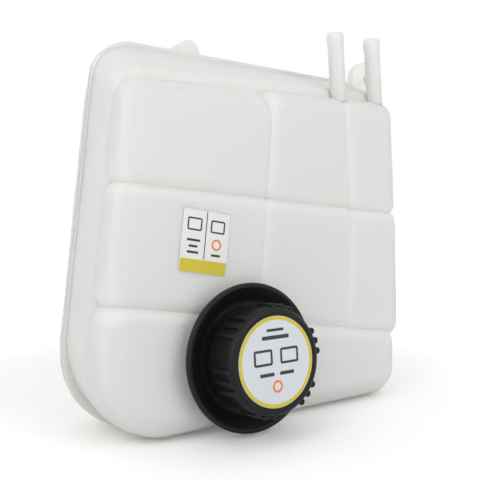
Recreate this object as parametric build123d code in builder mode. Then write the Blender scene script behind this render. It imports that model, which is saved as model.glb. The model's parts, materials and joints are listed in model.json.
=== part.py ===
from build123d import *
from math import cos, radians, sin, sqrt, tan
import os

os.makedirs("parts", exist_ok=True)

# Stance: the front face leans back, and the base stands flat on z = 0
lean = 5.3

# Depths behind the front face
body_depth = 12.0
seam_depth = 45.0
rear_depth = 78.0

# Walls of the two moulded shells
wall = 2.6
baffle_wall = 2.4
baffle_root = 0.4
weld_gap = 0.05
foot_trim = 0.4
flange_overhang = 1.5
flange_thickness = 2.0
flange_radii = (47.0, 12.0, 16.0, 28.0)

# Outline at the seam: x is measured from the cap axis, heights run up the leaning face
left_foot = -104.4
left_head = -70.8
right_foot = 142.2
right_head = 154.0
face_head = 214.0
top_left_rise = 31.2
top_right_rise = 20.8
seam_radii = (57.0, 16.0, 14.0, 26.0)

# Front of the body, set in from the seam by the draft of the mould
left_draft = 1.4
right_draft = 3.5
body_rise = 5.5
body_radii = (48.0, 14.0, 12.0, 20.0)
body_edge_radius = 11.0

# Pillow cells of the front face
cell_inset = 1.8
cell_foot = 3.5
cell_corner = 13.0
cell_near_corner = 24.0
cell_foot_corner = 46.0
cell_edge_radius = 12.0
foot_edge_radius = 14.0
toe_margin = 5.0
corner_margin = 2.0
cell_root = 26.0
top_row_inset = (3.8, 6.3)
middle_row_inset = (3.0, 3.0)
bottom_row_inset = (7.9, 6.1)

# Grooves lie over the level baffles, creases over the upright ones
high_groove = ((-80.0, 153.0), (146.0, 130.7))
low_groove = ((-94.0, 85.3), (140.0, 45.3))
near_crease = ((14.5, 66.5), (36.6, 214.0))
far_crease_high = ((97.0, 130.0), (97.0, 214.0))
far_crease_low = ((87.0, 54.0), (98.5, 137.0))
groove_depth = 2.4
crease_depth = 0.7

# Windows through the baffles, each at a share of its groove or crease
window_width = 14.0
window_depth = 20.0
high_windows = (0.18, 0.92)
low_windows = (0.12, 0.62, 0.93)
near_windows = (0.2, 0.86)
far_high_windows = (0.75,)
far_low_windows = (0.3,)

# Rear shell
rear_draft = 8.0
rear_top_drop = 12.0
rear_radii = (48.0, 14.0, 12.0, 20.0)
rear_edge_radius = 9.0
rear_cell_height = 4.0
rear_cell_inset = 5.0
rear_cell_edge_radius = 7.0

# Lugs on the rear shell
lug_x = 0.5
lug_rise = 3.4
lug_width = 15.0
lug_length = 20.0
ear_reach = 8.5
ear_rise = 5.7
ear_radius = 14.5
ear_thickness = 6.0
ear_hole = 3.6
ear_web_drop = 12.5
ear_web_length = 32.0

# Hose spigots
spigot_insets = (54.8, 19.6)
spigot_depth = 9.5
spigot_length = 45.2
spigot_root = 5.0
spigot_stem = 5.6
spigot_barb = 0.5
spigot_wall = 1.8
spigot_lead = 1.5
spigot_land = 3.5
spigot_back = 4.0

# Filler neck, along the cap axis from the front face
cap_height = 46.0
neck_bore = 22.5
neck_wall = 4.8
neck_length = 27.5
neck_seat_width = 3.2
neck_seat_height = 4.0
neck_root = 5.0
neck_round = 0.8

# Splash collar
collar_width = 17.1
collar_foot = 6.4
collar_rim = 2.5
collar_depth = 8.4
collar_edge = 3.2
collar_floor = 2.6
collar_hub = 3.4
collar_gap = 1.6
collar_round = 1.2
collar_bowl = 4.0

# Screw cap
fit_gap = 0.3
knob_play = 0.9
knob_wall = 1.9
knob_skirt = 1.4
knob_start = 10.6
grip_start = 19.5
grip_bevel = 0.8
knob_roof = 3.6
knob_round = 3.0
knob_edge = 0.8
snap_hold = 0.4
snap_land = 0.6
snap_ramp = 0.9
rib_height = 2.0
rib_radius = 2.0
rib_drop = 1.4
rib_groups = 6
ribs_in_group = 3
rib_pitch = 11.5
rib_turn = 16.0
label_margin = 5.1
label_thickness = 0.5
label_sink = 0.2
recess_edge = 0.2

# Valve insert inside the cap
gasket_thickness = 1.8
insert_lip = 1.1
insert_head = 1.4
insert_play = 0.9
insert_wall = 4.0
insert_foot = 2.0
insert_edge = 1.0
seat_plate = 2.5
seat_hole = 8.0
ring_section = 0.95
ring_place = 21.0
ring_play = 0.1
retainer_ledge = 0.5
retainer_thickness = 2.2
retainer_vent = 2.5
retainer_vent_inset = 5.1
retainer_vents = 4
plunger_play = 4.6
plunger_thickness = 2.5
plunger_boss = 5.0
plunger_boss_height = 2.0
plunger_seal = 1.1
plunger_edge = 0.4
stem_radius = 1.6
stem_play = 0.4
valve_head_gap = 2.5
valve_head = 1.4
valve_edge = 0.5
button_hold = 0.4
button_edge = 0.3
vacuum_room = 6.0
pressure_wire = 0.9
pressure_coil_inset = 3.5
pressure_turns = 5
vacuum_wire = 0.35
vacuum_play = 0.5
vacuum_turns = 4

# Label on the face
face_label_size = (32.4, 37.4)
face_label_center = (-22.2, 116.2)
face_label_turn = -9.5
face_label_thickness = 0.3
face_label_corner = 1.2

outward = Vector(0, -cos(radians(lean)), sin(radians(lean)))
face_up = Vector(0, sin(radians(lean)), cos(radians(lean)))
front_foot = Vector(0, -seam_depth / cos(radians(lean)), 0)
outward_axis = Axis((0, 0, 0), outward)


def face_plane(depth):
    # Plane parallel to the front face, a given depth behind it
    return Plane(origin=front_foot - outward * depth, x_dir=(1, 0, 0), z_dir=outward)


def on_face(x, height, depth):
    return front_foot + Vector(x, 0, 0) + face_up * height - outward * depth


def floor_height(depth):
    # Height up the face at which a plane of this depth meets the floor
    return depth * tan(radians(lean))


def shift(line, distance):
    # Moves a line to its left
    (x1, y1), (x2, y2) = line
    length = sqrt((x2 - x1) ** 2 + (y2 - y1) ** 2)
    dx = -(y2 - y1) / length * distance
    dy = (x2 - x1) / length * distance
    return ((x1 + dx, y1 + dy), (x2 + dx, y2 + dy))


def flip(line):
    return (line[1], line[0])


def meet(first, second):
    # Crossing point of two lines
    (x1, y1), (x2, y2) = first
    (x3, y3), (x4, y4) = second
    denominator = (x1 - x2) * (y3 - y4) - (y1 - y2) * (x3 - x4)
    a = x1 * y2 - y1 * x2
    b = x3 * y4 - y3 * x4
    x = (a * (x3 - x4) - (x1 - x2) * b) / denominator
    y = (a * (y3 - y4) - (y1 - y2) * b) / denominator
    return (x, y)


def corners_of(bounds, inset=0.0):
    # Bounds run anticlockwise: bottom, right, top, left, with the inside on their left
    bottom, right, top, left = [shift(line, inset) for line in bounds]
    return [meet(left, bottom), meet(bottom, right), meet(right, top), meet(top, left)]


def level_line(height):
    return ((left_foot, height), (right_foot, height))


def overlap(edge_radius, depth):
    # How far a rounded cell passes its groove so that two cells meet at this depth
    return edge_radius - sqrt(2 * edge_radius * depth - depth**2)


def draw_outline(corners, radii):
    with BuildLine() as border:
        FilletPolyline(*corners, radius=radii, close=True)
    make_face(border.edges())


def less(radii, amount):
    return tuple(radius - amount for radius in radii)


top_left_height = face_head + top_left_rise
top_right_height = face_head + top_right_rise
seam_left = ((left_head, face_head), (left_foot, 0.0))
seam_right = ((right_foot, 0.0), (right_head, face_head))
seam_top = ((right_head, top_right_height), (left_head, top_left_height))


def seam_bounds(depth, overhang=0.0):
    # Outline at the seam; the overhang of the weld flange stays off the floor
    return (
        level_line(floor_height(depth) - foot_trim + overhang),
        shift(seam_right, -overhang),
        shift(seam_top, -overhang),
        shift(seam_left, -overhang),
    )


body_left = shift(seam_left, left_draft)
body_right = shift(seam_right, right_draft)
body_top = flip(level_line(face_head + body_rise))
body_foot = level_line(floor_height(body_depth) - foot_trim)
body_bounds = (body_foot, body_right, body_top, body_left)
rear_left = shift(seam_left, rear_draft)
rear_right = shift(seam_right, rear_draft)
rear_top = shift(seam_top, rear_top_drop)
rear_foot = level_line(floor_height(rear_depth) - foot_trim)
rear_bounds = (rear_foot, rear_right, rear_top, rear_left)


def block(front_depth, front_corners, front_radii, back_depth, back_corners, back_radii):
    # Straight-walled solid between two outlines at different depths
    with BuildPart() as solid:
        with BuildSketch(face_plane(back_depth)):
            draw_outline(back_corners, back_radii)
        with BuildSketch(face_plane(front_depth)):
            draw_outline(front_corners, front_radii)
        loft(ruled=True)
    return solid.part


def beside(line, edge_radius, depth, inset):
    # Side of a cell along a groove of this depth; a pocket stays clear of the baffle there
    gap = inset - overlap(edge_radius, depth)
    if inset > 0:
        gap = max(gap, baffle_wall / 2 + baffle_root)
    return shift(line, gap)


def cells_of(left, rights, top, bottom, edge_radius, foot_radius, inset):
    # Corners, corner radii and edge radius of each pillow cell, row by row from the top,
    # or of the pocket inside each cell when they are inset by the wall
    above_high = beside(high_groove, edge_radius, groove_depth, inset)
    under_high = beside(flip(high_groove), edge_radius, groove_depth, inset)
    above_low = beside(low_groove, edge_radius, groove_depth, inset)
    under_low = beside(flip(low_groove), foot_radius, groove_depth, inset)
    to_near = beside(near_crease, edge_radius, crease_depth, inset)
    from_near = beside(flip(near_crease), edge_radius, crease_depth, inset)
    to_far_high = beside(far_crease_high, edge_radius, crease_depth, inset)
    from_far_high = beside(flip(far_crease_high), edge_radius, crease_depth, inset)
    to_far_low = beside(far_crease_low, edge_radius, crease_depth, inset)
    from_far_low = beside(flip(far_crease_low), edge_radius, crease_depth, inset)
    left, top, bottom = [shift(line, inset) for line in (left, top, bottom)]
    high_right, middle_right, low_right = [shift(line, inset) for line in rights]
    plain = (cell_corner,) * 4
    near = (cell_corner, cell_corner, cell_near_corner, cell_corner)
    foot = (cell_foot_corner, foot_radius + toe_margin) + (foot_radius + corner_margin,) * 2
    cells = [
        ((above_high, to_near, top, left), near, edge_radius),
        ((above_high, to_far_high, top, from_near), plain, edge_radius),
        ((above_high, high_right, top, from_far_high), plain, edge_radius),
        ((above_low, to_near, under_high, left), plain, edge_radius),
        ((above_low, to_far_low, under_high, from_near), plain, edge_radius),
        ((above_low, middle_right, under_high, from_far_low), plain, edge_radius),
        ((bottom, low_right, under_low, left), foot, foot_radius),
    ]
    return [(corners_of(bounds), less(radii, inset), radius - inset) for bounds, radii, radius in cells]


def bevel_under(edge_radius):
    # Slant cut for the edge of a hollow, so that the wall keeps its thickness under a rounded edge
    return (2 - sqrt(2)) * edge_radius


def crown_of(solid, front):
    # Front or rear end face of a solid
    ordered = solid.faces().sort_by(outward_axis)
    return ordered[-1] if front else ordered[0]


def hollow_of(solid, front, edge_radius):
    # Inside of a shell, bevelled where its outside is rounded
    with BuildPart() as hollow:
        add(solid)
        chamfer(crown_of(hollow, front).edges(), length=bevel_under(edge_radius - wall))
    return hollow.part


def pillow(cell, depth, length, front, rounded):
    # One cell with a rounded crown at a given depth, or a pocket with a bevelled one
    corners, radii, edge_radius = cell
    with BuildPart() as solid:
        with BuildSketch(face_plane(depth)):
            with BuildLine():
                Polyline(*corners, close=True)
            make_face()
        extrude(amount=-length if front else length)
        for corner, radius in zip(corners, radii):
            uprights = solid.edges().filter_by(outward_axis)
            fillet(uprights.sort_by_distance(on_face(*corner, depth))[0], radius=radius)
        rim = crown_of(solid, front).edges()
        if rounded:
            fillet(rim, radius=edge_radius)
        else:
            chamfer(rim, length=bevel_under(edge_radius))
    return solid.part


def plate(line, start, end, front_depth, back_depth):
    # Upright or level baffle along a groove, between two crossing lines
    one, two = shift(line, baffle_wall / 2), shift(line, -baffle_wall / 2)
    corners = [meet(one, start), meet(two, start), meet(two, end), meet(one, end)]
    with BuildPart() as solid:
        with BuildSketch(face_plane(back_depth)):
            with BuildLine():
                Polyline(*corners, close=True)
            make_face()
        extrude(amount=back_depth - front_depth)
    return solid.part


def baffles(front_depth, back_depth, outer):
    # Baffles under the grooves and creases, trimmed to the outside of their shell
    low, high = low_groove, high_groove
    head = level_line(top_left_height)
    runs = (
        (high, seam_left, seam_right),
        (low, seam_left, seam_right),
        (near_crease, low, head),
        (far_crease_high, high, head),
        (far_crease_low, low, high),
    )
    with BuildPart() as walls:
        for line, start, end in runs:
            add(plate(line, start, end, front_depth, back_depth))
        add(outer, mode=Mode.INTERSECT)
    return walls.part


def along(line, share):
    (x1, y1), (x2, y2) = line
    return (x1 + (x2 - x1) * share, y1 + (y2 - y1) * share)


window_shares = (
    (high_groove, high_windows),
    (low_groove, low_windows),
    (near_crease, near_windows),
    (far_crease_high, far_high_windows),
    (far_crease_low, far_low_windows),
)
window_places = [along(line, share) for line, shares in window_shares for share in shares]


def right_side(low, high, insets):
    # Right side of a row of cells between two heights, set in from the seam
    x_low = meet(seam_right, level_line(low))[0] - insets[0]
    x_high = meet(seam_right, level_line(high))[0] - insets[1]
    return ((x_low, low), (x_high, high))


high_right_end = high_groove[1][1]
low_right_end = low_groove[1][1]
front_sides = (
    shift(body_left, cell_inset),
    (
        right_side(high_right_end, face_head, top_row_inset),
        right_side(low_right_end, high_right_end, middle_row_inset),
        right_side(cell_foot, low_right_end, bottom_row_inset),
    ),
    flip(level_line(face_head)),
    level_line(cell_foot),
    cell_edge_radius,
    foot_edge_radius,
)

# The neck and every piece of the cap are turned about one axis
cap_point = on_face(0, cap_height, 0)
cap_axis = Axis(cap_point, outward)
cap_plane = Plane(origin=cap_point, x_dir=(1, 0, 0), z_dir=-face_up)


def cap_level(height):
    # Plane across the cap axis, a given height in front of the face
    return Plane(origin=cap_point + outward * height, x_dir=(1, 0, 0), z_dir=outward)


def turned(corners, radii, axis, plane):
    # Round piece from half of its section, given as distance from the axis and height along it
    with BuildPart() as solid:
        with BuildSketch(plane):
            draw_outline(corners, radii)
        revolve(axis=axis)
    return solid.part


def coil(wire, radius, bottom, top, turns):
    # Open coil spring round the cap axis, between two heights along it
    length = top - bottom - 2 * wire
    start = cap_point + outward * (bottom + wire)
    with BuildPart() as spring:
        with BuildLine() as path:
            Helix(pitch=length / turns, height=length, radius=radius, center=start, direction=outward)
        with BuildSketch(Plane(origin=path.line @ 0, z_dir=path.line % 0)):
            Circle(wire)
        sweep()
    return spring.part


# Front shell: body, weld flange, pillow cells and baffles, with the neck and spigots welded into it
front_body = block(
    body_depth,
    corners_of(body_bounds),
    body_radii,
    seam_depth,
    corners_of(seam_bounds(seam_depth)),
    seam_radii,
)
front_flange = block(
    seam_depth - flange_thickness,
    corners_of(seam_bounds(seam_depth - flange_thickness, flange_overhang)),
    flange_radii,
    seam_depth,
    corners_of(seam_bounds(seam_depth, flange_overhang)),
    flange_radii,
)
front_pillows = [pillow(cell, 0.0, cell_root, True, True) for cell in cells_of(*front_sides, 0.0)]
front_pockets = [
    pillow(cell, wall, body_depth + 2 * wall, True, False) for cell in cells_of(*front_sides, wall)
]
front_room = block(
    body_depth + wall,
    corners_of(body_bounds, wall),
    less(body_radii, wall),
    seam_depth,
    corners_of(seam_bounds(seam_depth), wall),
    less(seam_radii, wall),
)
front_hollow = hollow_of(front_room, True, body_edge_radius)
neck_radius = neck_bore + neck_wall
neck_seat_radius = neck_radius + neck_seat_width
filler_neck = turned(
    [
        (neck_bore, -neck_root),
        (neck_seat_radius, -neck_root),
        (neck_seat_radius, neck_seat_height),
        (neck_radius, neck_seat_height),
        (neck_radius, neck_length),
        (neck_bore, neck_length),
    ],
    (0.0, 0.0, 0.0, 0.0, neck_round, neck_round),
    cap_axis,
    cap_plane,
)

near_spigot_x, far_spigot_x = [right_head - inset for inset in spigot_insets]
spigot_tip = face_head + spigot_length
spigot_foot = face_head - spigot_root
spigot_bead = spigot_stem + spigot_barb
spigot_bore = spigot_stem - spigot_wall


def spigot(x):
    # Beaded hose tail that passes through the head of a cell
    axis = Axis(on_face(x, 0, spigot_depth), face_up)
    section = [
        (x + spigot_bore, spigot_foot),
        (x + spigot_stem, spigot_foot),
        (x + spigot_stem, spigot_tip - spigot_lead - spigot_land - spigot_back),
        (x + spigot_bead, spigot_tip - spigot_lead - spigot_land),
        (x + spigot_bead, spigot_tip - spigot_lead),
        (x + spigot_stem, spigot_tip),
        (x + spigot_bore, spigot_tip),
    ]
    return turned(section, (0.0,) * 7, axis, face_plane(spigot_depth))


near_spigot = spigot(near_spigot_x)
far_spigot = spigot(far_spigot_x)

with BuildPart() as front_outside:
    add(front_body)
    fillet(crown_of(front_outside, True).edges(), radius=body_edge_radius)
    add(front_flange)
    for solid in front_pillows:
        add(solid)
    split(bisect_by=Plane.XY, keep=Keep.TOP)

front_baffles = baffles(groove_depth, seam_depth, front_outside.part)

with BuildPart() as front_shell:
    add(front_outside.part)
    add(front_hollow, mode=Mode.SUBTRACT)
    for solid in front_pockets:
        add(solid, mode=Mode.SUBTRACT)
    add(front_baffles)
    with BuildSketch(face_plane(seam_depth)):
        with Locations(*window_places):
            Rectangle(window_width, window_width)
    extrude(amount=window_depth, mode=Mode.SUBTRACT)
    with BuildSketch(cap_level(-neck_root - weld_gap)):
        Circle(neck_seat_radius + weld_gap)
    extrude(amount=neck_root + neck_seat_height, mode=Mode.SUBTRACT)
    for x in (near_spigot_x, far_spigot_x):
        with BuildSketch(Plane(origin=on_face(x, spigot_foot - weld_gap, spigot_depth), z_dir=face_up)):
            Circle(spigot_stem + weld_gap)
        extrude(amount=spigot_tip - spigot_foot, mode=Mode.SUBTRACT)

# Rear shell: shallower body and cells, weld flange, mounting lug and mounting ear
rear_end = rear_depth + rear_cell_height
rear_sides = (
    shift(rear_left, rear_cell_inset),
    (shift(rear_right, rear_cell_inset),) * 3,
    shift(rear_top, rear_cell_inset),
    level_line(floor_height(rear_depth) + rear_cell_inset),
    rear_cell_edge_radius,
    rear_cell_edge_radius,
)
rear_body = block(
    seam_depth,
    corners_of(seam_bounds(seam_depth)),
    seam_radii,
    rear_depth,
    corners_of(rear_bounds),
    rear_radii,
)
rear_flange = block(
    seam_depth,
    corners_of(seam_bounds(seam_depth, flange_overhang)),
    flange_radii,
    seam_depth + flange_thickness,
    corners_of(seam_bounds(seam_depth + flange_thickness, flange_overhang)),
    flange_radii,
)
rear_pillows = [
    pillow(cell, rear_end, rear_cell_height + rear_edge_radius, False, True)
    for cell in cells_of(*rear_sides, 0.0)
]
rear_pockets = [
    pillow(cell, rear_end - wall, rear_cell_height + 2 * wall, False, False)
    for cell in cells_of(*rear_sides, wall)
]
rear_room = block(
    seam_depth,
    corners_of(seam_bounds(seam_depth), wall),
    less(seam_radii, wall),
    rear_depth - wall,
    corners_of(rear_bounds, wall),
    less(rear_radii, wall),
)
rear_hollow = hollow_of(rear_room, False, rear_edge_radius)

with BuildPart() as rear_outside:
    add(rear_body)
    fillet(crown_of(rear_outside, False).edges(), radius=rear_edge_radius)
    add(rear_flange)
    for solid in rear_pillows:
        add(solid)
    split(bisect_by=Plane.XY, keep=Keep.TOP)

rear_baffles = baffles(seam_depth, rear_end - groove_depth, rear_outside.part)
lug_height = along(seam_top, (right_head - lug_x) / (right_head - left_head))[1] + lug_rise
ear_center = (right_head + ear_reach, top_right_height + ear_rise)
ear_web_middle = ear_center[1] - ear_web_drop - ear_web_length / 2

with BuildPart() as rear_shell:
    add(rear_outside.part)
    with BuildSketch(face_plane(seam_depth)):
        with Locations((lug_x, lug_height)):
            Circle(lug_width / 2)
        with Locations((lug_x, lug_height - lug_width / 2)):
            Rectangle(lug_width, lug_width)
    extrude(amount=-lug_length)
    with BuildSketch(face_plane(seam_depth)):
        with Locations(ear_center):
            Circle(ear_radius)
        with Locations((right_head, ear_web_middle)):
            Rectangle(ear_radius, ear_web_length)
        make_hull()
    extrude(amount=-ear_thickness)
    add(rear_hollow, mode=Mode.SUBTRACT)
    for solid in rear_pockets:
        add(solid, mode=Mode.SUBTRACT)
    add(rear_baffles)
    with BuildSketch(face_plane(seam_depth)):
        with Locations(*window_places):
            Rectangle(window_width, window_width)
    extrude(amount=-window_depth, mode=Mode.SUBTRACT)
    with BuildSketch(face_plane(seam_depth)):
        with Locations(ear_center):
            Circle(ear_hole)
    extrude(amount=-ear_thickness, mode=Mode.SUBTRACT)

# Splash collar: a dished disc that sits on the seat of the neck
collar_bore = neck_radius + fit_gap
collar_radius = collar_bore + collar_width
collar_front = neck_seat_height + collar_depth
collar_dish = neck_seat_height + collar_floor
splash_collar = turned(
    [
        (collar_bore, neck_seat_height),
        (collar_bore + collar_foot, neck_seat_height),
        (collar_radius, collar_front - collar_edge),
        (collar_radius, collar_front),
        (collar_radius - collar_rim, collar_front),
        (collar_bore + collar_foot, collar_dish),
        (collar_bore + collar_hub, collar_dish),
        (collar_bore + collar_hub, knob_start - collar_gap),
        (collar_bore, knob_start - collar_gap),
    ],
    (0.0, 0.0, collar_round, collar_round, collar_round, collar_bowl, 0.0, 0.0, 0.0),
    cap_axis,
    cap_plane,
)

# Heights of the stack on the rim of the neck
gasket_foot = neck_length + fit_gap
head_foot = gasket_foot + gasket_thickness
head_top = head_foot + insert_head
roof_foot = head_top + fit_gap
knob_face = roof_foot + knob_roof
knob_top = knob_face + label_thickness + label_sink

# Radii of the cap, from the neck outwards and inwards
insert_head_radius = neck_radius + insert_lip
knob_bore = insert_head_radius + knob_play
knob_root = knob_bore + knob_wall
knob_radius = knob_root + rib_height
label_radius = knob_root - label_margin
recess_radius = label_radius + fit_gap
insert_radius = neck_bore - insert_play
insert_bore = insert_radius - insert_wall
retainer_radius = insert_bore + retainer_ledge
plunger_radius = insert_bore - plunger_play
stem_hole = stem_radius + stem_play
vacuum_coil = stem_radius + vacuum_play + vacuum_wire
valve_button = vacuum_coil + vacuum_wire + button_hold
valve_head_radius = seat_hole - valve_head_gap

# Cap knob: turned body with a snap bead over the insert, and ribs in groups round its grip
knob_body = turned(
    [
        (0.0, roof_foot),
        (knob_bore, roof_foot),
        (knob_bore, head_foot - fit_gap),
        (insert_head_radius - snap_hold, head_foot - fit_gap),
        (insert_head_radius - snap_hold, head_foot - fit_gap - snap_land),
        (knob_bore, head_foot - fit_gap - snap_land - snap_ramp),
        (knob_bore, knob_start),
        (knob_bore + knob_skirt, knob_start),
        (knob_bore + knob_skirt, grip_start - grip_bevel),
        (knob_root, grip_start),
        (knob_root, knob_top),
        (recess_radius, knob_top),
        (recess_radius, knob_face),
        (0.0, knob_face),
    ],
    (0.0,) * 7 + (knob_edge, 0.0, 0.0, knob_round, recess_edge, 0.0, 0.0),
    cap_axis,
    cap_plane,
)
rib_angles = [
    rib_turn + 360 / rib_groups * group + rib_pitch * (place - (ribs_in_group - 1) / 2)
    for group in range(rib_groups)
    for place in range(ribs_in_group)
]

with BuildPart() as cap_knob:
    add(knob_body)
    with BuildSketch(cap_level(grip_start)):
        for angle in rib_angles:
            with PolarLocations(knob_radius - rib_radius, 1, start_angle=angle):
                Circle(rib_radius)
    extrude(amount=knob_top - rib_drop - grip_start)

# Cap label, in the recess of the knob
with BuildPart() as cap_label:
    with BuildSketch(cap_level(knob_face)):
        Circle(label_radius)
    extrude(amount=label_thickness)

# Valve insert: tube with a seat plate at its foot, held under the roof of the knob
ring_radius = neck_bore - fit_gap - ring_section
ring_groove = ring_radius - ring_section - ring_play
ring_half = ring_section + ring_play
recess_foot = head_top - retainer_thickness
retainer_recess = retainer_radius + fit_gap
plate_top = insert_foot + seat_plate
valve_insert = turned(
    [
        (seat_hole, insert_foot),
        (insert_radius, insert_foot),
        (insert_radius, ring_place - ring_half),
        (ring_groove, ring_place - ring_half),
        (ring_groove, ring_place + ring_half),
        (insert_radius, ring_place + ring_half),
        (insert_radius, head_foot),
        (insert_head_radius, head_foot),
        (insert_head_radius, head_top),
        (retainer_recess, head_top),
        (retainer_recess, recess_foot),
        (insert_bore, recess_foot),
        (insert_bore, plate_top),
        (seat_hole, plate_top),
    ],
    (0.0, insert_edge) + (0.0,) * 12,
    cap_axis,
    cap_plane,
)

with BuildPart() as insert_ring:
    with BuildSketch(cap_plane):
        with Locations((ring_radius, ring_place)):
            Circle(ring_section)
    revolve(axis=cap_axis)

neck_gasket = turned(
    [
        (insert_radius + fit_gap, gasket_foot),
        (neck_radius - fit_gap, gasket_foot),
        (neck_radius - fit_gap, head_foot),
        (insert_radius + fit_gap, head_foot),
    ],
    (0.0,) * 4,
    cap_axis,
    cap_plane,
)

with BuildPart() as spring_retainer:
    with BuildSketch(cap_level(recess_foot)):
        Circle(retainer_radius)
        with PolarLocations(retainer_radius - retainer_vent_inset, retainer_vents):
            Circle(retainer_vent, mode=Mode.SUBTRACT)
    extrude(amount=retainer_thickness)

# Pressure valve: plunger and its seal, pressed on the seat plate by the large spring
seal_foot = plate_top + fit_gap
plunger_foot = seal_foot + plunger_seal
plunger_top = plunger_foot + plunger_thickness
boss_top = plunger_top + plunger_boss_height
pressure_plunger = turned(
    [
        (stem_hole, plunger_foot),
        (plunger_radius, plunger_foot),
        (plunger_radius, plunger_top),
        (plunger_boss, plunger_top),
        (plunger_boss, boss_top),
        (stem_hole, boss_top),
    ],
    (0.0,) + (plunger_edge,) * 4 + (0.0,),
    cap_axis,
    cap_plane,
)
plunger_gasket = turned(
    [
        (seat_hole + fit_gap, seal_foot),
        (plunger_radius - fit_gap, seal_foot),
        (plunger_radius - fit_gap, plunger_foot),
        (seat_hole + fit_gap, plunger_foot),
    ],
    (0.0,) * 4,
    cap_axis,
    cap_plane,
)
pressure_spring = coil(
    pressure_wire,
    plunger_radius - pressure_coil_inset,
    plunger_top + fit_gap,
    recess_foot - fit_gap,
    pressure_turns,
)

# Vacuum valve: a small mushroom through the plunger, drawn up by the small spring
mushroom_foot = plunger_foot - fit_gap - valve_head
stem_top = boss_top + vacuum_room
vacuum_valve = turned(
    [
        (0.0, mushroom_foot),
        (valve_head_radius, mushroom_foot),
        (valve_head_radius, mushroom_foot + valve_head),
        (stem_radius, mushroom_foot + valve_head),
        (stem_radius, stem_top),
        (valve_button, stem_top),
        (valve_button, stem_top + valve_head),
        (0.0, stem_top + valve_head),
    ],
    (0.0, valve_edge, button_edge, 0.0, 0.0, button_edge, valve_edge, 0.0),
    cap_axis,
    cap_plane,
)
vacuum_spring = coil(vacuum_wire, vacuum_coil, boss_top + fit_gap, stem_top - fit_gap, vacuum_turns)

# Plain label on the face of the tank
with BuildPart() as face_label:
    with BuildSketch(face_plane(0)):
        with Locations(Location((*face_label_center, 0), (0, 0, face_label_turn))):
            RectangleRounded(*face_label_size, face_label_corner)
    extrude(amount=face_label_thickness)

pieces = {
    "front_shell": front_shell.part,
    "rear_shell": rear_shell.part,
    "filler_neck": filler_neck,
    "near_spigot": near_spigot,
    "far_spigot": far_spigot,
    "splash_collar": splash_collar,
    "face_label": face_label.part,
    "cap_knob": cap_knob.part,
    "cap_label": cap_label.part,
    "valve_insert": valve_insert,
    "insert_ring": insert_ring.part,
    "neck_gasket": neck_gasket,
    "spring_retainer": spring_retainer.part,
    "pressure_plunger": pressure_plunger,
    "plunger_gasket": plunger_gasket,
    "pressure_spring": pressure_spring,
    "vacuum_valve": vacuum_valve,
    "vacuum_spring": vacuum_spring,
}

for name, piece in pieces.items():
    piece.label = name
    export_step(piece, f"parts/{name}.step")
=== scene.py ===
import bpy
import json
from math import cos, pi, radians, sin
from mathutils import Matrix, Vector


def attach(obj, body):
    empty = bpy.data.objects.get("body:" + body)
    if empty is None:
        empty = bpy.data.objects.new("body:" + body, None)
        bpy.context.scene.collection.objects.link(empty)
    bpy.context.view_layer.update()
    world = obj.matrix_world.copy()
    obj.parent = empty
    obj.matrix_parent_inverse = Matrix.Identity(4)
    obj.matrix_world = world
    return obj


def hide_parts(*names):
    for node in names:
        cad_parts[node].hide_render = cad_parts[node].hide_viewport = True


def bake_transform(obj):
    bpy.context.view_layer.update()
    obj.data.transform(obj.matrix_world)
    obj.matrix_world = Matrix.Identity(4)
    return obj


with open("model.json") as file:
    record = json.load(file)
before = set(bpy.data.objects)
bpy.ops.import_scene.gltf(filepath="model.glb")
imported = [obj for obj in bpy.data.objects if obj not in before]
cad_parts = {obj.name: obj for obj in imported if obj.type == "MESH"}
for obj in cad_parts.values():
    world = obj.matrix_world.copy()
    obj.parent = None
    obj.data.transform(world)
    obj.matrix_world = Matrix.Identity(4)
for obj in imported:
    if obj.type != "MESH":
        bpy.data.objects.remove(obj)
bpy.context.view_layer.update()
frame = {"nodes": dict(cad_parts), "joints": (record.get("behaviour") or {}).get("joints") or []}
nodes = frame["nodes"]
joints = {joint["name"]: joint for joint in frame["joints"]}
print("frame loaded:", len(nodes), "nodes")

# the cap axis carries the neck, the cap and the face: x across, y up the face, z out of it
capPoint = Vector(joints["cap_turn"]["pos_m"])
outward = Vector(joints["cap_turn"]["axis"]).normalized()
across = Vector((1, 0, 0))
faceUp = outward.cross(across).normalized()
capMatrix = Matrix.Translation(capPoint) @ Matrix((across, faceUp, outward)).transposed().to_4x4()


smoothAngle = radians(30)  # faces that meet under a smaller angle are shaded as one


# small helpers
def clearPick():
    if bpy.context.mode != "OBJECT":
        bpy.ops.object.mode_set(mode="OBJECT")
    bpy.ops.object.select_all(action="DESELECT")


def pickOnly(piece):
    clearPick()
    piece.select_set(True)
    bpy.context.view_layer.objects.active = piece


def editAll(piece, mode="VERT"):
    pickOnly(piece)
    bpy.ops.object.mode_set(mode="EDIT")
    bpy.ops.mesh.select_mode(type=mode)
    bpy.ops.mesh.select_all(action="SELECT")


def doneEditing():
    bpy.ops.object.mode_set(mode="OBJECT")


def settle(piece, matrix):
    # the place goes into the mesh, the object stays at the origin
    bpy.context.view_layer.update()
    piece.data.transform(matrix @ piece.matrix_world)
    piece.matrix_world = Matrix.Identity(4)


def joinAll(pieces, name):
    pickOnly(pieces[0])
    for piece in pieces:
        piece.select_set(True)
    if len(pieces) > 1:
        bpy.ops.object.join()
    joined = bpy.context.view_layer.objects.active
    joined.name = name
    joined.data.name = name
    return joined


def dress(piece, material):
    piece.data.materials.clear()
    piece.data.materials.append(material)


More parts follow.
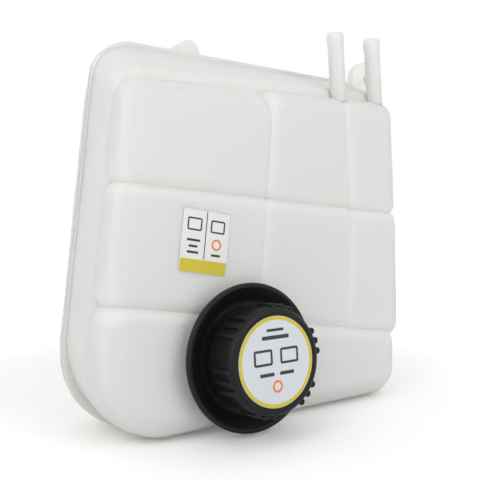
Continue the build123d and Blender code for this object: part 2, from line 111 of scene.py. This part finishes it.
# shader groups used by several finishes
def newGroup(name, inputs, outputs):
    group = bpy.data.node_groups.new(name, "ShaderNodeTree")
    for label, kind, value in inputs:
        socket = group.interface.new_socket(name=label, in_out="INPUT", socket_type=kind)
        if value is not None:
            socket.default_value = value
    for label, kind in outputs:
        group.interface.new_socket(name=label, in_out="OUTPUT", socket_type=kind)
    entry = group.nodes.new("NodeGroupInput")
    leave = group.nodes.new("NodeGroupOutput")
    return group, entry, leave


grainDetail = {"fine": 3.0, "slow": 2.0}
scuffDetail = {"detail": 5.0, "breakUp": 0.6}


def buildMouldGrain():
    # fine skin of a moulded part, with slower waviness under it
    group, entry, leave = newGroup(
        "mouldGrain",
        [
            ("Vector", "NodeSocketVector", None),
            ("Grain Scale", "NodeSocketFloat", 900.0),
            ("Wave Scale", "NodeSocketFloat", 30.0),
            ("Wave Share", "NodeSocketFloat", 0.4),
        ],
        [("Height", "NodeSocketFloat"), ("Mottle", "NodeSocketFloat")],
    )
    fine = group.nodes.new("ShaderNodeTexNoise")
    fine.inputs["Detail"].default_value = grainDetail["fine"]
    slow = group.nodes.new("ShaderNodeTexNoise")
    slow.inputs["Detail"].default_value = grainDetail["slow"]
    blend = group.nodes.new("ShaderNodeMix")  # its sockets share names, so they go by number
    group.links.new(entry.outputs["Vector"], fine.inputs["Vector"])
    group.links.new(entry.outputs["Vector"], slow.inputs["Vector"])
    group.links.new(entry.outputs["Grain Scale"], fine.inputs["Scale"])
    group.links.new(entry.outputs["Wave Scale"], slow.inputs["Scale"])
    group.links.new(entry.outputs["Wave Share"], blend.inputs[0])
    group.links.new(fine.outputs["Fac"], blend.inputs[2])
    group.links.new(slow.outputs["Fac"], blend.inputs[3])
    group.links.new(blend.outputs[0], leave.inputs["Height"])
    group.links.new(slow.outputs["Fac"], leave.inputs["Mottle"])
    return group


def buildHandling():
    # light scuffs that break up a sheen
    group, entry, leave = newGroup(
        "handling",
        [
            ("Vector", "NodeSocketVector", None),
            ("Scale", "NodeSocketFloat", 60.0),
            ("Low", "NodeSocketFloat", 0.35),
            ("High", "NodeSocketFloat", 0.5),
        ],
        [("Roughness", "NodeSocketFloat")],
    )
    noise = group.nodes.new("ShaderNodeTexNoise")
    noise.inputs["Detail"].default_value = scuffDetail["detail"]
    noise.inputs["Roughness"].default_value = scuffDetail["breakUp"]
    spread = group.nodes.new("ShaderNodeMapRange")
    group.links.new(entry.outputs["Vector"], noise.inputs["Vector"])
    group.links.new(entry.outputs["Scale"], noise.inputs["Scale"])
    group.links.new(noise.outputs["Fac"], spread.inputs["Value"])
    group.links.new(entry.outputs["Low"], spread.inputs["To Min"])
    group.links.new(entry.outputs["High"], spread.inputs["To Max"])
    group.links.new(spread.outputs["Result"], leave.inputs["Roughness"])
    return group


mouldGrain = buildMouldGrain()
handling = buildHandling()


def makeFinish(look):
    # one finish: two close colours, a moulded skin and a handled sheen
    material = bpy.data.materials.new(look["name"])
    material.use_nodes = True
    tree = material.node_tree
    shader = tree.nodes["Principled BSDF"]
    where = tree.nodes.new("ShaderNodeTexCoord")
    skin = tree.nodes.new("ShaderNodeGroup")
    skin.node_tree = mouldGrain
    skin.inputs["Grain Scale"].default_value = look["grain"]
    skin.inputs["Wave Scale"].default_value = look["wave"]
    skin.inputs["Wave Share"].default_value = look["waveShare"]
    sheen = tree.nodes.new("ShaderNodeGroup")
    sheen.node_tree = handling
    sheen.inputs["Scale"].default_value = look["scuff"]
    sheen.inputs["Low"].default_value = look["rough"][0]
    sheen.inputs["High"].default_value = look["rough"][1]
    tint = tree.nodes.new("ShaderNodeMix")
    tint.data_type = "RGBA"
    tint.inputs[6].default_value = (*look["colour"], 1)
    tint.inputs[7].default_value = (*look["colourTwo"], 1)
    bump = tree.nodes.new("ShaderNodeBump")
    bump.inputs["Strength"].default_value = look["bump"]
    bump.inputs["Distance"].default_value = look["bumpDepth"]
    tree.links.new(where.outputs["Object"], skin.inputs["Vector"])
    tree.links.new(where.outputs["Object"], sheen.inputs["Vector"])
    tree.links.new(skin.outputs["Mottle"], tint.inputs[0])
    tree.links.new(tint.outputs[2], shader.inputs["Base Color"])
    tree.links.new(sheen.outputs["Roughness"], shader.inputs["Roughness"])
    tree.links.new(skin.outputs["Height"], bump.inputs["Height"])
    tree.links.new(bump.outputs["Normal"], shader.inputs["Normal"])
    shader.inputs["Metallic"].default_value = look.get("metal", 0.0)
    shader.inputs["IOR"].default_value = look.get("ior", 1.49)
    shader.inputs["Specular IOR Level"].default_value = look.get("specular", 0.5)
    if "scatter" in look:
        shader.inputs["Subsurface Weight"].default_value = look["scatter"]
        shader.inputs["Subsurface Radius"].default_value = look["scatterRadius"]
        shader.inputs["Subsurface Scale"].default_value = look["scatterScale"]
        shader.inputs["Transmission Weight"].default_value = look["letThrough"]
    return material


tankLook = {
    "name": "milkyTankPlastic",
    "colour": (0.955, 0.955, 0.895),
    "colourTwo": (0.97, 0.97, 0.91),
    "grain": 700.0,
    "wave": 14.0,
    "waveShare": 0.5,
    "scuff": 40.0,
    "rough": (0.34, 0.48),
    "bump": 0.05,
    "bumpDepth": 0.0008,
    "scatter": 1.0,
    "scatterRadius": (1.0, 1.0, 1.0),
    "scatterScale": 0.004,
    "letThrough": 0.3,
}
blackLook = {
    "name": "blackCapPlastic",
    "colour": (0.006, 0.006, 0.0065),
    "colourTwo": (0.011, 0.011, 0.012),
    "grain": 1800.0,
    "wave": 60.0,
    "waveShare": 0.25,
    "scuff": 90.0,
    "rough": (0.30, 0.46),
    "bump": 0.12,
    "bumpDepth": 0.0004,
    "specular": 0.22,
}
valveLook = {
    "name": "valvePlastic",
    "colour": (0.05, 0.05, 0.055),
    "colourTwo": (0.08, 0.08, 0.085),
    "grain": 1600.0,
    "wave": 80.0,
    "waveShare": 0.25,
    "scuff": 120.0,
    "rough": (0.35, 0.5),
    "bump": 0.1,
    "bumpDepth": 0.0003,
}
rubberLook = {
    "name": "sealRubber",
    "colour": (0.010, 0.010, 0.010),
    "colourTwo": (0.022, 0.021, 0.020),
    "grain": 2600.0,
    "wave": 150.0,
    "waveShare": 0.2,
    "scuff": 160.0,
    "rough": (0.62, 0.82),
    "bump": 0.2,
    "bumpDepth": 0.0003,
}
steelLook = {
    "name": "springWire",
    "colour": (0.46, 0.46, 0.47),
    "colourTwo": (0.60, 0.60, 0.61),
    "grain": 3200.0,
    "wave": 240.0,
    "waveShare": 0.5,
    "scuff": 400.0,
    "rough": (0.22, 0.38),
    "bump": 0.1,
    "bumpDepth": 0.0002,
    "metal": 1.0,
    "ior": 2.5,
}
stickerLook = {
    "name": "stickerFilm",
    "colour": (0.70, 0.69, 0.68),
    "colourTwo": (0.74, 0.73, 0.72),
    "grain": 1200.0,
    "wave": 60.0,
    "waveShare": 0.6,
    "scuff": 110.0,
    "rough": (0.28, 0.42),
    "bump": 0.05,
    "bumpDepth": 0.0003,
}
plateLook = {
    "name": "capPlateFilm",
    "colour": (0.57, 0.605, 0.645),
    "colourTwo": (0.62, 0.655, 0.69),
    "grain": 1500.0,
    "wave": 70.0,
    "waveShare": 0.5,
    "scuff": 140.0,
    "rough": (0.3, 0.44),
    "bump": 0.05,
    "bumpDepth": 0.0003,
}
# the inks lie on the film and share its skin
yellowLook = dict(stickerLook, name="yellowInk",
                  colour=(0.54, 0.44, 0.022), colourTwo=(0.60, 0.49, 0.03))
darkLook = dict(stickerLook, name="darkInk",
                colour=(0.018, 0.018, 0.02), colourTwo=(0.03, 0.03, 0.034))
orangeLook = dict(stickerLook, name="orangeInk",
                  colour=(0.70, 0.17, 0.03), colourTwo=(0.76, 0.21, 0.04))

milkyTankPlastic = makeFinish(tankLook)
blackCapPlastic = makeFinish(blackLook)
valvePlastic = makeFinish(valveLook)
sealRubber = makeFinish(rubberLook)
springWire = makeFinish(steelLook)
stickerFilm = makeFinish(stickerLook)
capPlateFilm = makeFinish(plateLook)
yellowInk = makeFinish(yellowLook)
darkInk = makeFinish(darkLook)
orangeInk = makeFinish(orangeLook)

finishOf = {
    "front_shell": milkyTankPlastic,
    "rear_shell": milkyTankPlastic,
    "filler_neck": milkyTankPlastic,
    "near_spigot": milkyTankPlastic,
    "far_spigot": milkyTankPlastic,
    "splash_collar": blackCapPlastic,
    "face_label": stickerFilm,
    "cap_knob": blackCapPlastic,
    "cap_label": capPlateFilm,
    "valve_insert": valvePlastic,
    "insert_ring": sealRubber,
    "neck_gasket": sealRubber,
    "spring_retainer": valvePlastic,
    "pressure_plunger": valvePlastic,
    "plunger_gasket": sealRubber,
    "pressure_spring": springWire,
    "vacuum_valve": valvePlastic,
    "vacuum_spring": springWire,
}
for nodeName, finish in finishOf.items():
    dress(nodes[nodeName], finish)
print("finishes on every node")


# screw threads of the neck and the knob
neckThread = {"name": "neckThread", "root": 0.0272, "height": 0.0013, "foot": 0.0009, "crest": 0.0004,
              "start": 0.0135, "turns": 2.6, "pitch": 0.004, "startTurn": 0.0, "fade": 14}
knobThread = {"name": "knobThread", "root": 0.0294, "height": -0.0013, "foot": 0.0009, "crest": 0.0004,
              "start": 0.0135, "turns": 1.6, "pitch": 0.004, "startTurn": 0.5, "fade": 14}
stepsPerTurn = 72
endShare = 0.08  # part of the ridge's height that is left at its very ends


def makeThread(look):
    clearPick()
    bpy.ops.mesh.primitive_plane_add(size=1)
    thread = bpy.context.active_object
    tip = look["root"] + look["height"]
    rise = look["start"]
    corners = [
        (look["root"], -look["foot"]),
        (look["root"], look["foot"]),
        (tip, look["crest"]),
        (tip, -look["crest"]),
    ]
    order = [0, 1, 3, 2]  # a plane's corners run row by row
    for index, corner in zip(order, corners):
        thread.data.vertices[index].co = (corner[0], 0, rise + corner[1])
    editAll(thread)
    bpy.ops.mesh.delete(type="ONLY_FACE")
    doneEditing()
    screw = thread.modifiers.new("screw", "SCREW")
    screw.angle = 2 * pi * look["turns"]
    screw.screw_offset = look["pitch"] * look["turns"]
    screw.steps = int(stepsPerTurn * look["turns"])
    screw.render_steps = screw.steps
    screw.use_merge_vertices = False
    pickOnly(thread)
    bpy.ops.object.modifier_apply(modifier="screw")
    # run the ridge out at both ends
    lead = look["pitch"] / (2 * pi)
    total = 2 * pi * look["turns"]
    fade = 2 * pi * look["fade"] / stepsPerTurn
    for vertex in thread.data.vertices:
        radius = (vertex.co.x ** 2 + vertex.co.y ** 2) ** 0.5
        turned = min(max((vertex.co.z - rise) / lead, 0), total)
        share = min(turned / fade, (total - turned) / fade, 1)
        share = max(share, endShare)
        factor = (look["root"] + (radius - look["root"]) * share) / radius
        vertex.co.x *= factor
        vertex.co.y *= factor
    editAll(thread, "EDGE")
    bpy.ops.mesh.select_all(action="DESELECT")
    bpy.ops.mesh.select_non_manifold()
    bpy.ops.mesh.fill()
    bpy.ops.mesh.select_all(action="SELECT")
    bpy.ops.mesh.normals_make_consistent(inside=False)
    doneEditing()
    bpy.ops.object.shade_smooth_by_angle(angle=smoothAngle)
    turn = Matrix.Rotation(2 * pi * look["startTurn"], 4, "Z")
    settle(thread, capMatrix @ turn)
    thread.name = look["name"]
    thread.data.name = look["name"]
    return thread


neckThreadPiece = makeThread(neckThread)
dress(neckThreadPiece, milkyTankPlastic)
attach(neckThreadPiece, "tank")
knobThreadPiece = makeThread(knobThread)
dress(knobThreadPiece, blackCapPlastic)
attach(knobThreadPiece, "cap")
print("threads cut")


# the springs of the valves, each listed with the two bodies that hold it, outer one first
springs = [
    {"name": "pressureCoil", "node": "pressure_spring", "outerBody": "insert", "innerBody": "plunger"},
    {"name": "vacuumCoil", "node": "vacuum_spring", "outerBody": "mushroom", "innerBody": "plunger"},
]
springMerge = 0.000001  # points of the copied mesh that lie this close become one


def makeSpring(look):
    wire = nodes[look["node"]].data.copy()
    wire.name = look["name"]
    coil = bpy.data.objects.new(look["name"], wire)
    bpy.context.scene.collection.objects.link(coil)
    # the frame's mesh is loose triangles, so the copy is merged and smoothed anew
    editAll(coil)
    bpy.ops.mesh.customdata_custom_splitnormals_clear()
    bpy.ops.mesh.remove_doubles(threshold=springMerge)
    doneEditing()
    bpy.ops.object.shade_smooth_by_angle(angle=smoothAngle)
    dress(coil, springWire)
    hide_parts(look["node"])
    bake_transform(coil)


for springLook in springs:
    makeSpring(springLook)


# flat print on the sticker and on the cap plate
cornerSteps = 5
ringSteps = 96
dotSteps = 40


def keepRim(width):
    # only a line along the edge of the field is left
    bpy.ops.mesh.inset(thickness=width)
    bpy.ops.mesh.delete(type="FACE")
    bpy.ops.mesh.select_all(action="SELECT")


def raiseInk(thickness):
    bpy.ops.mesh.extrude_region_move(TRANSFORM_OT_translate={"value": (0, 0, thickness)})
    bpy.ops.mesh.select_all(action="SELECT")
    bpy.ops.mesh.normals_make_consistent(inside=False)
    doneEditing()


def printBox(centre, size, corner, thickness, line=0.0):
    # a rounded field, or only its outline where a line width is given
    clearPick()
    bpy.ops.mesh.primitive_plane_add(size=1, location=(centre[0], centre[1], 0))
    shape = bpy.context.active_object
    shape.scale = (size[0], size[1], 1)
    bpy.ops.object.transform_apply(location=True, rotation=False, scale=True)
    editAll(shape)
    bpy.ops.mesh.bevel(offset=corner, segments=cornerSteps, affect="VERTICES")
    if line > 0:
        bpy.ops.mesh.select_mode(type="FACE")
        bpy.ops.mesh.select_all(action="SELECT")
        keepRim(line)
    raiseInk(thickness)
    return shape


def printRing(centre, radius, width, thickness, segments):
    clearPick()
    bpy.ops.mesh.primitive_circle_add(vertices=segments, radius=radius, fill_type="NGON",
                                      location=(centre[0], centre[1], 0))
    shape = bpy.context.active_object
    bpy.ops.object.transform_apply(location=True, rotation=False, scale=False)
    editAll(shape, "FACE")
    keepRim(width)
    raiseInk(thickness)
    return shape


# fields, frames and bars: middle, size, corner radius; rings and dots: middle, radius, line width
sticker = {
    "centre": (-0.0222, 0.0702),  # from the cap axis, across and up the face
    "turn": -9.5,
    "front": 0.0003,
    "ink": 0.00004,
    "band": ((0, -0.0147), (0.0318, 0.0078), 0.0009),
    "divider": ((0, 0.0040), (0.0006, 0.0285), 0.0002),
    "frames": [
        ((-0.0080, 0.0100), (0.0100, 0.0078), 0.0012),
        ((0.0080, 0.0100), (0.0100, 0.0078), 0.0012),
    ],
    "frameLine": 0.0010,
    "bars": [
        ((-0.0080, 0.0004), (0.0090, 0.0014), 0.0004),
        ((-0.0080, -0.0032), (0.0060, 0.0014), 0.0004),
        ((-0.0080, -0.0068), (0.0078, 0.0014), 0.0004),
        ((0.0080, -0.0072), (0.0064, 0.0014), 0.0004),
    ],
    "dot": ((0.0080, -0.0008), 0.0034, 0.0011),
}
stickerMatrix = (
    capMatrix
    @ Matrix.Translation((*sticker["centre"], sticker["front"]))
    @ Matrix.Rotation(radians(sticker["turn"]), 4, "Z")
)


def makeSticker():
    band = joinAll([printBox(*sticker["band"], sticker["ink"])], "stickerBand")
    marks = [printBox(*sticker["divider"], sticker["ink"])]
    marks += [printBox(*place, sticker["ink"], sticker["frameLine"]) for place in sticker["frames"]]
    marks += [printBox(*place, sticker["ink"]) for place in sticker["bars"]]
    ink = joinAll(marks, "stickerMarks")
    centre, radius, width = sticker["dot"]
    dot = joinAll([printRing(centre, radius, width, sticker["ink"], dotSteps)], "stickerDot")
    for piece, finish in ((band, yellowInk), (ink, darkInk), (dot, orangeInk)):
        settle(piece, stickerMatrix)
        dress(piece, finish)
        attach(piece, "tank")


makeSticker()

plate = {
    "front": 0.0354,
    "ink": 0.00004,
    "ring": ((0, 0), 0.0259, 0.0020),
    "frames": [
        ((-0.0092, 0.0030), (0.0130, 0.0092), 0.0014),
        ((0.0092, 0.0030), (0.0130, 0.0092), 0.0014),
    ],
    "frameLine": 0.0014,
    "bars": [
        ((0, 0.0140), (0.0190, 0.0022), 0.0006),
        ((0, 0.0182), (0.0120, 0.0016), 0.0005),
        ((-0.0070, -0.0068), (0.0100, 0.0020), 0.0005),
        ((0.0070, -0.0068), (0.0100, 0.0020), 0.0005),
    ],
    "dot": ((0, -0.0140), 0.0036, 0.0013),
}


def makePlate():
    ring = joinAll([printRing(*plate["ring"], plate["ink"], ringSteps)], "plateRing")
    marks = [printBox(*place, plate["ink"], plate["frameLine"]) for place in plate["frames"]]
    marks += [printBox(*place, plate["ink"]) for place in plate["bars"]]
    ink = joinAll(marks, "plateMarks")
    centre, radius, width = plate["dot"]
    dot = joinAll([printRing(centre, radius, width, plate["ink"], dotSteps)], "plateDot")
    for piece, finish in ((ring, yellowInk), (ink, darkInk), (dot, orangeInk)):
        settle(piece, capMatrix @ Matrix.Translation((0, 0, plate["front"])))
        dress(piece, finish)
        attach(piece, "cap")


makePlate()
print("print laid on the labels")


# floor, light and camera
stageLook = {
    "floorSize": 6.0,
    "floorColour": (0.93, 0.93, 0.93),
    "floorRough": 0.9,
    "nearGlow": 0.10,
    "farGlow": 0.55,
    "glowReach": (0.16, 0.55),  # the floor turns white between these distances from the tank
}


def makeFloor():
    clearPick()
    bpy.ops.mesh.primitive_plane_add(size=stageLook["floorSize"])
    floor = bpy.context.active_object
    floor.name = "floor"
    material = bpy.data.materials.new("paleFloor")
    material.use_nodes = True
    tree = material.node_tree
    shader = tree.nodes["Principled BSDF"]
    shader.inputs["Base Color"].default_value = (*stageLook["floorColour"], 1)
    shader.inputs["Roughness"].default_value = stageLook["floorRough"]
    shader.inputs["Specular IOR Level"].default_value = 0.0
    light = tree.nodes.new("ShaderNodeLightPath")
    where = tree.nodes.new("ShaderNodeTexCoord")
    away = tree.nodes.new("ShaderNodeVectorMath")
    away.operation = "LENGTH"
    glow = tree.nodes.new("ShaderNodeMapRange")
    glow.interpolation_type = "SMOOTHSTEP"
    glow.inputs["From Min"].default_value = stageLook["glowReach"][0]
    glow.inputs["From Max"].default_value = stageLook["glowReach"][1]
    glow.inputs["To Min"].default_value = stageLook["nearGlow"]
    glow.inputs["To Max"].default_value = stageLook["farGlow"]
    scale = tree.nodes.new("ShaderNodeMath")
    scale.operation = "MULTIPLY"
    shader.inputs["Emission Color"].default_value = (1, 1, 1, 1)
    tree.links.new(where.outputs["Object"], away.inputs[0])
    tree.links.new(away.outputs["Value"], glow.inputs["Value"])
    tree.links.new(glow.outputs["Result"], scale.inputs[0])
    tree.links.new(light.outputs["Is Camera Ray"], scale.inputs[1])
    tree.links.new(scale.outputs[0], shader.inputs["Emission Strength"])
    dress(floor, material)


makeFloor()

worldLook = {"ambient": 0.77, "seen": 1.0}  # light on the tank, and the white seen behind and in it


def makeWorld():
    world = bpy.data.worlds.new("studio")
    bpy.context.scene.world = world
    world.use_nodes = True
    tree = world.node_tree
    back = tree.nodes["Background"]
    light = tree.nodes.new("ShaderNodeLightPath")
    # camera, mirror and glass rays see the white, all others the ambient light
    seenOrMirrored = tree.nodes.new("ShaderNodeMath")
    seenOrMirrored.operation = "MAXIMUM"
    seenAnyWay = tree.nodes.new("ShaderNodeMath")
    seenAnyWay.operation = "MAXIMUM"
    strength = tree.nodes.new("ShaderNodeMapRange")
    strength.inputs["To Min"].default_value = worldLook["ambient"]
    strength.inputs["To Max"].default_value = worldLook["seen"]
    tree.links.new(light.outputs["Is Camera Ray"], seenOrMirrored.inputs[0])
    tree.links.new(light.outputs["Is Glossy Ray"], seenOrMirrored.inputs[1])
    tree.links.new(seenOrMirrored.outputs[0], seenAnyWay.inputs[0])
    tree.links.new(light.outputs["Is Transmission Ray"], seenAnyWay.inputs[1])
    tree.links.new(seenAnyWay.outputs[0], strength.inputs["Value"])
    tree.links.new(strength.outputs["Result"], back.inputs["Strength"])
    back.inputs["Color"].default_value = (1, 1, 1, 1)


makeWorld()

lamps = [
    {"name": "keyLamp", "place": (0.30, -1.15, 0.80), "aim": (0.02, 0, 0.1), "power": 4.0, "size": 0.9},
    {"name": "sideLamp", "place": (-0.9, -0.35, 0.7), "aim": (0.02, 0, 0.1), "power": 3.2, "size": 0.8},
    {"name": "rearLamp", "place": (-0.2, 0.9, 1.0), "aim": (0.02, 0, 0.12), "power": 0.6, "size": 0.8},
]


def makeLamp(look):
    lamp = bpy.data.lights.new(look["name"], "AREA")
    lamp.shape = "DISK"
    lamp.size = look["size"]
    lamp.energy = look["power"]
    holder = bpy.data.objects.new(look["name"], lamp)
    bpy.context.scene.collection.objects.link(holder)
    place = Vector(look["place"])
    aim = Vector(look["aim"]) - place
    holder.matrix_world = Matrix.Translation(place) @ aim.to_track_quat("-Z", "Y").to_matrix().to_4x4()


for lampLook in lamps:
    makeLamp(lampLook)

camera = {
    "place": (-0.2374, -0.3902, 0.1426),
    "yaw": 34.05,
    "pitch": 3.515,
    "lens": 52.5,
    "sensor": 36.0,
    "nearest": 0.01,
}


def makeCamera():
    lens = bpy.data.cameras.new("photoView")
    lens.lens = camera["lens"]
    lens.sensor_width = camera["sensor"]
    lens.clip_start = camera["nearest"]
    holder = bpy.data.objects.new("photoView", lens)
    bpy.context.scene.collection.objects.link(holder)
    yaw, pitch = radians(camera["yaw"]), radians(camera["pitch"])
    looking = Vector((sin(yaw) * cos(pitch), cos(yaw) * cos(pitch), -sin(pitch)))
    turn = looking.to_track_quat("-Z", "Y").to_matrix().to_4x4()
    holder.matrix_world = Matrix.Translation(Vector(camera["place"])) @ turn
    bpy.context.scene.camera = holder


makeCamera()
bpy.context.scene.view_settings.view_transform = "Standard"
print("stage set")
